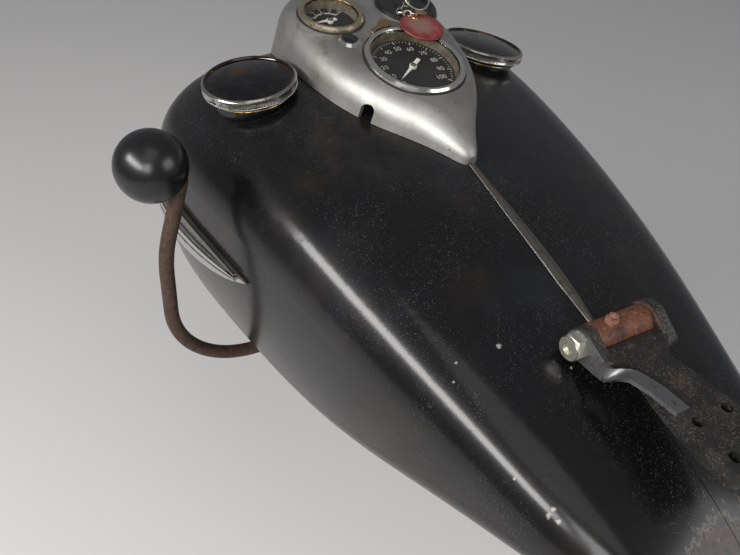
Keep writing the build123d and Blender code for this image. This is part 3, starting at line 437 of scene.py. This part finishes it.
# One material for each slot of the part's record
MATERIALS = {
    "enamel": enamel(),
    "dash": cast_aluminium(),
    "chrome": metal("worn_chrome", (0.62, 0.61, 0.58), (0.13, 0.10, 0.075), rough=0.10, dirty=0.35,
                    scale=110.0),
    "neck": gloss_black("neck_black", 0.2),
    "dial": paint("dial_black", (0.006, 0.006, 0.0055), (0.013, 0.013, 0.011), 0.5),
    "pointer": paint("pointer_white", (0.74, 0.73, 0.68), (0.62, 0.6, 0.54), 0.5),
    "glass": glass(),
    "switch": gloss_black("switch_black", 0.32),
    "key": metal("worn_key", (0.42, 0.33, 0.19), (0.08, 0.06, 0.04), rough=0.32, dirty=0.7, scale=200.0),
    "ring": metal("ring_wire", (0.36, 0.34, 0.31), (0.09, 0.07, 0.05), rough=0.3, dirty=0.6, scale=300.0),
    "fob": worn_fob(),
    "moulding": metal("dull_strip", (0.12, 0.105, 0.09), (0.04, 0.033, 0.027), rough=0.38, dirty=0.7,
                      scale=120.0, metallic=0.8),
    "rod": rust("rusty_rod", (0.024, 0.015, 0.011), (0.07, 0.038, 0.024), (0.2, 0.12, 0.075),
                metallic=0.3, scale=420.0, rough=0.62),
    "knob": gloss_black("knob_black", 0.27),
    "steel": worn_black("black_steel"),
    "casting": worn_black("black_casting", CASTING_SPOTS, CHEEK_LIP),
    "zinc": metal("zinc_plate", (0.6, 0.59, 0.5), (0.2, 0.16, 0.11), rough=0.32, dirty=0.45, scale=150.0),
    "strap": metal("scratched_strap", (0.22, 0.22, 0.225), (0.06, 0.05, 0.042), rough=0.4, dirty=0.65,
                   scale=130.0),
    "tap": metal("tap_brass", (0.4, 0.29, 0.13), (0.08, 0.06, 0.04), rough=0.34, dirty=0.7, scale=120.0),
}
slots = {row["node"]: row["material_slot"] for row in frame["record"]["subparts"]}
for name, obj in nodes.items():
    obj.data.materials.clear()
    obj.data.materials.append(MATERIALS[slots[name]])

# Materials of the detail pieces, and of the nodes that differ from the rest of their slot
NICKEL = metal("worn_nickel", (0.5, 0.42, 0.3), (0.14, 0.09, 0.05), rough=0.2, dirty=0.5, scale=160.0)
BRASS = metal("dull_brass", (0.42, 0.29, 0.12), (0.1, 0.06, 0.03), rough=0.28, dirty=0.6, scale=220.0)
BRIGHT = metal("bright_edge", (0.46, 0.44, 0.41), (0.12, 0.1, 0.08), rough=0.25, dirty=0.6, scale=140.0)
# Cream of the instruments' inner walls: aged, and darkened all over as painted shade for the inside of the
# bezels
CREAM = paint("aged_and_shaded_cream", (0.135, 0.112, 0.072), (0.045, 0.036, 0.023), 0.5, 110.0)
RUBBER = paint("old_rubber", (0.012, 0.011, 0.011), (0.03, 0.028, 0.026), 0.6)
MARKS = paint("faded_white", (0.56, 0.55, 0.49), (0.3, 0.29, 0.25), 0.55, 700.0)
DARK_RED = rust("dark_red", (0.08, 0.01, 0.01), (0.15, 0.022, 0.02), (0.22, 0.06, 0.05),
                metallic=0.0, scale=200.0, rough=0.45)
LENS = gloss_black("lens_black", 0.12)
CAP = cap_metal()
TRIM = spear_metal()
OWN_MATERIALS = {
    "hinge_base": rust("rusty_barrel", (0.028, 0.012, 0.008), (0.13, 0.046, 0.022), (0.27, 0.12, 0.065),
                       metallic=0.15, scale=130.0, rough=0.6),
    "grease_nipple": rust("rusty_nipple", (0.09, 0.035, 0.024), (0.27, 0.12, 0.085), (0.45, 0.3, 0.22),
                          metallic=0.2, scale=240.0, rough=0.6),
    "ammeter_bezel": NICKEL, "trim_left": TRIM, "trim_right": TRIM, "cap_left": CAP, "cap_right": CAP,
}
for name, material in OWN_MATERIALS.items():
    nodes[name].data.materials[0] = material


# Detail pieces; a shape is its points in mm and its faces

SHARP = radians(32)     # edges that turn by more than this stay crisp


def frame_at(place, rearward, leftward=0.0):
    """Place in mm whose z axis leans to the rear and to the left, as on the CAD pieces."""
    a, b = radians(rearward), radians(leftward)
    up = Vector((-sin(a), sin(b) * cos(a), cos(a) * cos(b)))
    ahead = Vector((cos(a), 0, sin(a)))
    ahead = (ahead - up * up.dot(ahead)).normalized()
    seat = Matrix((ahead, up.cross(ahead), up)).transposed().to_4x4()
    seat.translation = Vector(place) * MM
    return seat


def make(name, shape, material, place=None, body="root", hides=None, smooth=True):
    """Piece of that shape at its place, on its body and in place of the node that it hides."""
    points, faces = shape
    mesh = bpy.data.meshes.new(name)
    mesh.from_pydata([Vector(p) * MM for p in points], [], faces)
    mesh.update()
    for face in mesh.polygons:
        face.use_smooth = smooth
    if smooth:
        mesh.set_sharp_from_angle(angle=SHARP)
    mesh.materials.append(material)
    obj = bpy.data.objects.new(name, mesh)
    bpy.context.scene.collection.objects.link(obj)
    if place:
        obj.matrix_world = place
    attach(obj, body)
    if hides:
        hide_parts(hides)


def joined(shapes):
    """Several shapes as one."""
    points, faces = [], []
    for more, rows in shapes:
        faces += [tuple(i + len(points) for i in row) for row in rows]
        points += list(more)
    return points, faces


def wrapped(rows, sides, closed):
    """Faces between rows of points, from the last row back to the first if closed."""
    faces = []
    for k in range(rows if closed else rows - 1):
        low, high = k * sides, (k + 1) % rows * sides
        for i in range(sides):
            j = (i + 1) % sides
            faces.append((low + i, low + j, high + j, high + i))
    return faces


def lathe(outline, segments=128, teeth=0, closed=True):
    """Turned shape from rows of radius, height and how deep teeth are cut there."""
    points = []
    for radius, height, *cut in outline:
        for i in range(segments):
            a = 2 * pi * i / segments
            deep = cut[0] * (0.5 + 0.5 * cos(teeth * a)) if cut else 0.0
            points.append(((radius - deep) * cos(a), (radius - deep) * sin(a), height))
    return points, wrapped(len(outline), segments, closed)


def tube(path, radius, sides=8, loop=False):
    """Round wire along a path."""
    path = [Vector(p) for p in path]
    count = len(path)
    points = []
    normal = None
    for k, here in enumerate(path):
        back = path[k - 1] if loop or k else here
        ahead = path[(k + 1) % count] if loop or k < count - 1 else here
        along = (ahead - back).normalized()
        if normal is None:
            normal = along.orthogonal().normalized()
        normal = (normal - along * normal.dot(along)).normalized()
        side = along.cross(normal)
        for i in range(sides):
            a = 2 * pi * i / sides
            points.append(here + (normal * cos(a) + side * sin(a)) * radius)
    faces = wrapped(count, sides, loop)
    if not loop:
        faces += [tuple(range(sides - 1, -1, -1)), tuple((count - 1) * sides + i for i in range(sides))]
    return points, faces


def ellipse(half_x, half_y, count, ahead=0.0):
    """Points round an ellipse, whose middle may lie ahead of the origin."""
    angles = [2 * pi * i / count for i in range(count)]
    return [(ahead + half_x * cos(a), half_y * sin(a)) for a in angles]


def ring(radius, height, count, wire, ahead=0.0):
    """Flat ring of round wire."""
    return tube([(x, y, height) for x, y in ellipse(radius, radius, count, ahead)], wire, loop=True)


def slab(outline, low, high):
    """Flat plate from an outline, between two heights."""
    count = len(outline)
    points = [(x, y, low) for x, y in outline] + [(x, y, high) for x, y in outline]
    faces = [tuple(range(count - 1, -1, -1)), tuple(range(count, 2 * count))]
    faces += [(i, (i + 1) % count, count + (i + 1) % count, count + i) for i in range(count)]
    return points, faces


def strip(start, end, wide, low, high):
    """Straight flat bar between two points."""
    (x0, y0), (x1, y1) = start, end
    along = Vector((x1 - x0, y1 - y0)).normalized() * wide / 2
    side = Vector((-along.y, along.x))
    return slab([(x0 + side.x, y0 + side.y), (x0 - side.x, y0 - side.y), (x1 - side.x, y1 - side.y),
                 (x1 + side.x, y1 + side.y)], low, high)


def polar(radius, angle):
    """Point at a radius and an angle in degrees, to the left of straight ahead."""
    return radius * cos(radians(angle)), radius * sin(radians(angle))


# Filler caps: a finely cut band round a domed face, and the brass edge of the neck's bead.
# The rows are radius, height from the rim and, on the band, the depth of its teeth.
CAP_ROWS = [
    (30.0, -8.95), (39.0, -8.95), (39.9, -8.4), (39.95, -7.7, 0.1), (39.95, -7.4, 0.55), (39.95, -2.4, 0.55),
    (39.95, -2.1, 0.1), (39.9, -1.5), (39.2, -0.5), (38.4, 0.0), (37.4, -0.1), (36.6, -0.7), (36.1, -1.5),
    (35.4, -1.45), (32.0, -0.65), (28.0, 0.2), (24.0, 0.9), (18.0, 1.7), (12.0, 2.25), (6.0, 2.52),
    (0.01, 2.6),
]
CAP_TEETH = 195
NECK_EDGE_R, NECK_EDGE_Z, NECK_EDGE_WIRE = 34.9, -12.3, 0.55
(cap_x, cap_y, cap_z), cap_rearward, cap_leftward = CAP_SEAT
for side, name in ((1, "left"), (-1, "right")):
    rim = frame_at((cap_x, side * cap_y, cap_z), cap_rearward, side * cap_leftward)
    cap_face = lathe(CAP_ROWS, 4 * CAP_TEETH, CAP_TEETH, closed=False)
    make("cap_face_" + name, cap_face, CAP, rim, "filler_cap_" + name, "cap_" + name)
    make("neck_edge_" + name, ring(NECK_EDGE_R, NECK_EDGE_Z, 96, NECK_EDGE_WIRE), BRASS, rim)

# Instruments: gasket, inner wall in a cream darkened as painted shade, figures and marks on the dials, and
# the pointers' hubs
DIAL_Z = -5.36          # from the bezel's foot
WALL_IN, WALL_TOP = 5.65, 2.5       # how far the inner wall lies inside the bezel's radius, and its height
MARK_Z, MARK_T = DIAL_Z + 0.03, 0.05
FIGURE_Z = MARK_Z + 0.03
FINE, BOLD, ARC_WIDE, BAR_WIDE = 0.5, 0.9, 1.3, 1.0     # widths of the marks
BAR_BACK, BAR_HALF = 16.0, 5.0      # the ammeter's bar: how far behind the middle, and half its length
SPEED_FIGURE, CURRENT_FIGURE = 7.0, 4.4     # sizes of the figures
HUB_ROWS = [(2.6, -3.3), (2.6, -2.7), (2.2, -2.45), (0.01, -2.4)]


def mark(start, end, wide):
    """Painted bar on a dial."""
    return strip(start, end, wide, MARK_Z, MARK_Z + MARK_T)


def numeral(text, size, middle):
    """Flat figures on a dial that the rider reads, centred on a point."""
    curve = bpy.data.curves.new("numeral", "FONT")
    curve.body, curve.size = text, size
    curve.align_x, curve.align_y = "CENTER", "CENTER"
    obj = bpy.data.objects.new("numeral", curve)
    bpy.context.scene.collection.objects.link(obj)
    mesh = bpy.data.meshes.new_from_object(obj.evaluated_get(bpy.context.evaluated_depsgraph_get()))
    points = [(middle[0] + v.co.y, middle[1] - v.co.x, FIGURE_Z) for v in mesh.vertices]
    faces = [tuple(face.vertices) for face in mesh.polygons]
    bpy.data.objects.remove(obj)
    bpy.data.curves.remove(curve)
    bpy.data.meshes.remove(mesh)
    return points, faces


def speed_scale():
    """Marks all round with a longer one at each ten, and the figures 0 to 100."""
    zero, sweep, steps, tens = 133.0, 266.0, 50, 10
    figure_r, ten_r, fine_r, rim_r = 25.6, 31.4, 33.4, 35.6
    shapes = []
    for k in range(steps + 1):
        angle = zero - sweep / steps * k
        at_ten = k % (steps // tens) == 0
        inner_r, wide = (ten_r, BOLD) if at_ten else (fine_r, FINE)
        shapes.append(mark(polar(inner_r, angle), polar(rim_r, angle), wide))
    for k in range(tens + 1):
        shapes.append(numeral(str(10 * k), SPEED_FIGURE, polar(figure_r, zero - sweep / tens * k)))
    return joined(shapes)


def current_scale():
    """Marks and an arc from 20 through 0 to 20, their figures, and a bar at the dial's rear."""
    half, steps, bows = 52.0, 8, 10
    arc_r, foot_r, fine_r, bold_r, figure_r = 13.6, 14.2, 15.8, 17.6, 20.0
    shapes = []
    for k in range(-steps, steps + 1):
        angle = half / steps * k
        outer_r, wide = (bold_r, BOLD) if k % 4 == 0 else (fine_r, FINE)
        shapes.append(mark(polar(foot_r, angle), polar(outer_r, angle), wide))
    for k in range(-bows, bows):
        if k not in (-1, 0):
            ends = polar(arc_r, half / bows * k), polar(arc_r, half / bows * (k + 1))
            shapes.append(mark(*ends, ARC_WIDE))
    for text, share in (("20", 1.0), ("10", 0.5), ("0", 0.0), ("10", -0.5), ("20", -1.0)):
        shapes.append(numeral(text, CURRENT_FIGURE, polar(figure_r, half * share)))
    shapes.append(mark((-BAR_BACK, -BAR_HALF), (-BAR_BACK, BAR_HALF), BAR_WIDE))
    return joined(shapes)


speedometer, ammeter = frame_at(*SPEEDOMETER_SEAT), frame_at(*AMMETER_SEAT)
for name, place, radius in (("speedometer", speedometer, SPEEDOMETER_R), ("ammeter", ammeter, AMMETER_R)):
    gasket = [(radius - 0.1, 0.02), (radius + 1.2, 0.02), (radius + 1.3, 0.7), (radius - 0.1, 1.0)]
    make(name + "_gasket", lathe(gasket), RUBBER, place)
    inner = radius - WALL_IN
    wall = [(inner, DIAL_Z), (inner, WALL_TOP), (inner - 0.5, WALL_TOP), (inner - 0.9, DIAL_Z)]
    make(name + "_wall", lathe(wall), CREAM, place)
make("speedometer_figures", speed_scale(), MARKS, speedometer, smooth=False)
make("ammeter_marks", current_scale(), MARKS, ammeter, smooth=False)
for name, place in (("speedometer", speedometer), ("ammeter", ammeter)):
    make(name + "_hub", lathe(HUB_ROWS, 32, closed=False), NICKEL, place)

# Warning lamp: a washer round its seat, and a dark lens with a slot across it, in a ring
WASHER_ROWS = [(9.3, 0.1), (10.6, 0.1), (10.4, 1.0), (9.3, 1.5)]
LENS_ROWS = [(6.3, 4.14), (3.2, 4.6), (0.01, 5.09)]
LENS_RING_ROWS = [(5.9, 4.0), (6.9, 3.75), (7.1, 4.1), (6.0, 4.5)]
SLOT_X, SLOT_Y, SLOT_WIDE = 4.6, 3.6, 1.9   # its end from the middle, and its width
SLOT_LOW, SLOT_HIGH = 4.0, 5.15
lamp_seat = frame_at(*LAMP_SEAT)
make("lamp_washer", lathe(WASHER_ROWS, 64), MATERIALS["chrome"], lamp_seat)
make("lamp_lens", lathe(LENS_ROWS, 48, closed=False), LENS, lamp_seat)
slot_bar = strip((-SLOT_X, -SLOT_Y), (SLOT_X, SLOT_Y), SLOT_WIDE, SLOT_LOW, SLOT_HIGH)
make("lamp_slot", slot_bar, RUBBER, lamp_seat)
make("lamp_ring", lathe(LENS_RING_ROWS, 48), RUBBER, lamp_seat)

# The fob's rolled rim and eyelet, on a plane through the speedometer's seat
RIM_R, RIM_Z, RIM_WIRE = 18.4, 6.5, 1.15
EYELET_R, EYELET_Z, EYELET_WIRE, EYELET_AHEAD = 2.6, 7.7, 0.7, 12.5
(seat_x, _, seat_z), seat_rearward, _ = SPEEDOMETER_SEAT
fob_z = seat_z + (FOB_X - seat_x) * tan(radians(seat_rearward))
fob = frame_at((FOB_X, FOB_Y, fob_z), seat_rearward)
make("fob_rim", ring(RIM_R, RIM_Z, 64, RIM_WIRE), DARK_RED, fob)
make("fob_eyelet", ring(EYELET_R, EYELET_Z, 24, EYELET_WIRE, EYELET_AHEAD), BRASS, fob)

# A short chain from the key ring
CHAIN = [(-132.5, -31.0, 158.0), (-134.5, -25.5, 156.6), (-137.0, -20.5, 154.9), (-140.0, -16.5, 153.2),
         (-143.0, -20.5, 153.6), (-146.5, -25.0, 154.2), (-149.5, -29.0, 154.2)]
LINK_HALF_LONG, LINK_HALF_WIDE, LINK_WIRE = 3.6, 2.4, 0.75
LINK_LEAN, LINK_TURN = 0.3, 1.55    # radians: of the first link, and more for every second one


def chain_link(start, end, lean):
    """Oval link between two points of the chain, turned about its length."""
    start, end = Vector(start), Vector(end)
    along = (end - start).normalized()
    side = Matrix.Rotation(lean, 3, along) @ along.orthogonal().normalized()
    oval = [(start + end) / 2 + along * x + side * y for x, y in ellipse(LINK_HALF_LONG, LINK_HALF_WIDE, 20)]
    return tube(oval, LINK_WIRE, 7, loop=True)


links = []
for k, (start, end) in enumerate(zip(CHAIN, CHAIN[1:])):
    links.append(chain_link(start, end, LINK_LEAN + LINK_TURN * (k % 2)))
make("key_chain", joined(links), MATERIALS["ring"])

# A second key, lying on the dash, and an oval tag on the key ring
KEY_BOW_X, KEY_BOW_R, KEY_T = 11.0, 5.6, 1.3
KEY_BLADE = [(6.0, 2.6), (-9.0, 2.6), (-11.5, 0.6), (-11.5, -2.2), (-8.0, -2.2), (-6.5, -1.2), (-5.0, -2.2),
             (-3.0, -1.4), (-1.0, -2.4), (6.0, -2.6)]
key_bow = [(KEY_BOW_X + x, y) for x, y in (polar(KEY_BOW_R, angle) for angle in range(-150, 151, 15))]
KEY_PLACE, KEY_REARWARD, KEY_TURN = (-147.0, 7.5, 144.9), 5.0, radians(-62)
TAG_PLACE, TAG_REARWARD, TAG_TURN = (-147.5, -34.5, 154.2), -4.0, 0.8
TAG_HALF_LONG, TAG_HALF_WIDE, TAG_T = 5.8, 3.2, 1.4
key_place = frame_at(KEY_PLACE, KEY_REARWARD) @ Matrix.Rotation(KEY_TURN, 4, "Z")
make("second_key", slab(key_bow + KEY_BLADE, 0.0, KEY_T), BRASS, key_place, smooth=False)
tag_place = frame_at(TAG_PLACE, TAG_REARWARD) @ Matrix.Rotation(TAG_TURN, 4, "Z")
make("ring_tag", slab(ellipse(TAG_HALF_LONG, TAG_HALF_WIDE, 28), 0.0, TAG_T), BRASS, tag_place)

# Seam strip: its bright left edge, from rows of x, half width and height
SEAM = [(-293.0, 2.8, 94.69), (-310.0, 3.34, 91.5), (-350.0, 4.6, 83.5), (-400.0, 5.06, 73.5),
        (-415.0, 5.2, 69.6), (-452.0, 2.6, 59.9)]
EDGE_IN, EDGE_UP, EDGE_WIRE = 0.35, 1.25, 0.55
seam_edge = [(x, half - EDGE_IN, z + EDGE_UP) for x, half, z in SEAM]
make("strip_edge", tube(seam_edge, EDGE_WIRE), BRIGHT)


# Stage: pale floor, soft lamps and the photograph's camera

FLOOR_HALF, FLOOR_Z = 7.0, -0.36
FLOOR_GREY, FLOOR_ROUGH = (0.64, 0.63, 0.62), 0.7
WORLD_COLOUR, WORLD_STRENGTH = (0.9, 0.92, 0.95, 1.0), 0.25
MIDDLE = (-0.33, 0.0, 0.03)     # of the tanks, in metres

floor_mesh = bpy.data.meshes.new("floor")
corners = [(-1, -1), (1, -1), (1, 1), (-1, 1)]
floor_mesh.from_pydata([(FLOOR_HALF * x, FLOOR_HALF * y, FLOOR_Z) for x, y in corners], [], [(0, 1, 2, 3)])
floor_mesh.materials.append(Shader("pale_floor").finish(FLOOR_GREY, FLOOR_ROUGH))
floor = bpy.data.objects.new("floor", floor_mesh)
bpy.context.scene.collection.objects.link(floor)


def lamp(name, place, aim, size, power, colour=(1.0, 1.0, 1.0)):
    """Soft rectangular lamp that points at its aim; lengths in metres, power in watts."""
    data = bpy.data.lights.new(name, "AREA")
    data.shape = "RECTANGLE"
    data.size, data.size_y = size
    data.energy = power
    data.color = colour
    obj = bpy.data.objects.new(name, data)
    obj.location = place
    obj.rotation_euler = (Vector(aim) - Vector(place)).to_track_quat("-Z", "Y").to_euler()
    bpy.context.scene.collection.objects.link(obj)


lamp("key", place=(-0.41, 1.2, 0.63), aim=(-0.38, 0.0, 0.03), size=(1.25, 0.24), power=18.0,
     colour=(1.0, 0.985, 0.97))
lamp("fill", place=(-1.5, 1.05, 0.85), aim=(-0.35, 0.05, 0.05), size=(0.6, 0.7), power=9.5)
lamp("top", place=(-1.0, 0.5, 2.2), aim=MIDDLE, size=(1.5, 1.5), power=6.0)
lamp("back", place=(-1.5, -0.9, 0.9), aim=MIDDLE, size=(1.0, 0.8), power=8.0)

world = bpy.data.worlds.new("studio")
world.use_nodes = True
background = world.node_tree.nodes["Background"]
background.inputs["Color"].default_value = WORLD_COLOUR
background.inputs["Strength"].default_value = WORLD_STRENGTH
bpy.context.scene.world = world

# The camera's place and axes were worked out from the rims of the caps and instruments in the photograph
CAMERA_PLACE = (-0.720, 0.418, 0.4597)
CAMERA_RIGHT = (-0.51629, -0.84495, 0.13962)
CAMERA_UP = (0.61028, -0.24861, 0.75217)
CAMERA_VIEW = (0.60084, -0.47354, -0.64401)
CAMERA_LENS, CAMERA_SENSOR = 41.84, 36.0

camera_data = bpy.data.cameras.new("camera")
camera_data.lens = CAMERA_LENS
camera_data.sensor_width = CAMERA_SENSOR
camera_data.clip_start = 0.01
camera = bpy.data.objects.new("camera", camera_data)
axes = Matrix((CAMERA_RIGHT, CAMERA_UP, [-c for c in CAMERA_VIEW])).transposed()
camera.matrix_world = Matrix.Translation(CAMERA_PLACE) @ axes.to_4x4()
bpy.context.scene.collection.objects.link(camera)
bpy.context.scene.camera = camera
bpy.context.scene.view_settings.view_transform = "Standard"
